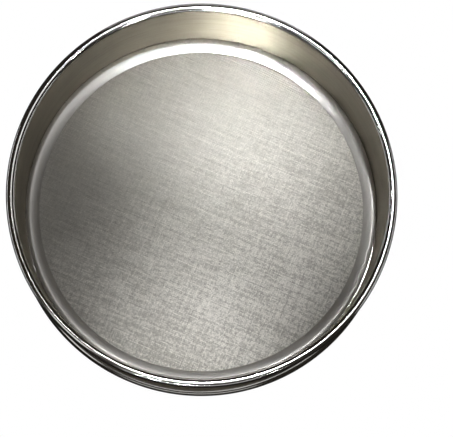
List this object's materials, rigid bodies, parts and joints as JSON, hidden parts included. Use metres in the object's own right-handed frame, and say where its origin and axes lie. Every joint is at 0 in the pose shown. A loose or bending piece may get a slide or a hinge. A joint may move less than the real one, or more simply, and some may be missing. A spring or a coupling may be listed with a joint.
{
  "type": "soil sieve",
  "caption": "Round stainless steel soil sieve with a rolled rim, fine woven wire cloth held by a tack-welded ring, and a nesting skirt.",
  "frame": {"origin": "centre of the nesting skirt's lower edge, on the surface that the sieve stands on", "axes": "+Z along the sieve's axis, from the skirt towards the open rim; the body is round, so X and Y are free"},
  "size_m": [0.2124, 0.2124, 0.067],
  "materials": {
    "polished_wall": "mirror-polished stainless steel",
    "satin_frame": "polished stainless steel with fine turned lines",
    "ring_steel": "lightly brushed stainless steel",
    "wire_cloth": "fine woven stainless wire",
    "weld_metal": "bright weld metal"
  },
  "bodies": {
    "root": {"upper_frame": "polished_wall", "lower_frame": "satin_frame", "retaining_ring": "ring_steel", "wire_cloth": "wire_cloth", "tack_weld_01": "weld_metal", "tack_weld_02": "weld_metal", "tack_weld_03": "weld_metal", "tack_weld_04": "weld_metal", "tack_weld_05": "weld_metal", "tack_weld_06": "weld_metal", "tack_weld_07": "weld_metal", "tack_weld_08": "weld_metal", "tack_weld_09": "weld_metal", "tack_weld_10": "weld_metal", "tack_weld_11": "weld_metal", "tack_weld_12": "weld_metal", "tack_weld_13": "weld_metal", "tack_weld_14": "weld_metal", "tack_weld_15": "weld_metal", "tack_weld_16": "weld_metal", "tack_weld_17": "weld_metal", "tack_weld_18": "weld_metal", "tack_weld_19": "weld_metal", "tack_weld_20": "weld_metal", "tack_weld_21": "weld_metal", "tack_weld_22": "weld_metal", "tack_weld_23": "weld_metal", "tack_weld_24": "weld_metal", "tack_weld_25": "weld_metal", "tack_weld_26": "weld_metal", "tack_weld_27": "weld_metal", "tack_weld_28": "weld_metal", "tack_weld_29": "weld_metal", "tack_weld_30": "weld_metal", "tack_weld_31": "weld_metal", "tack_weld_32": "weld_metal", "tack_weld_33": "weld_metal", "tack_weld_34": "weld_metal", "tack_weld_35": "weld_metal", "tack_weld_36": "weld_metal", "tack_weld_37": "weld_metal", "tack_weld_38": "weld_metal", "tack_weld_39": "weld_metal", "tack_weld_40": "weld_metal", "tack_weld_41": "weld_metal", "tack_weld_42": "weld_metal", "tack_weld_43": "weld_metal", "tack_weld_44": "weld_metal", "tack_weld_45": "weld_metal"}
  },
  "joints": []
}
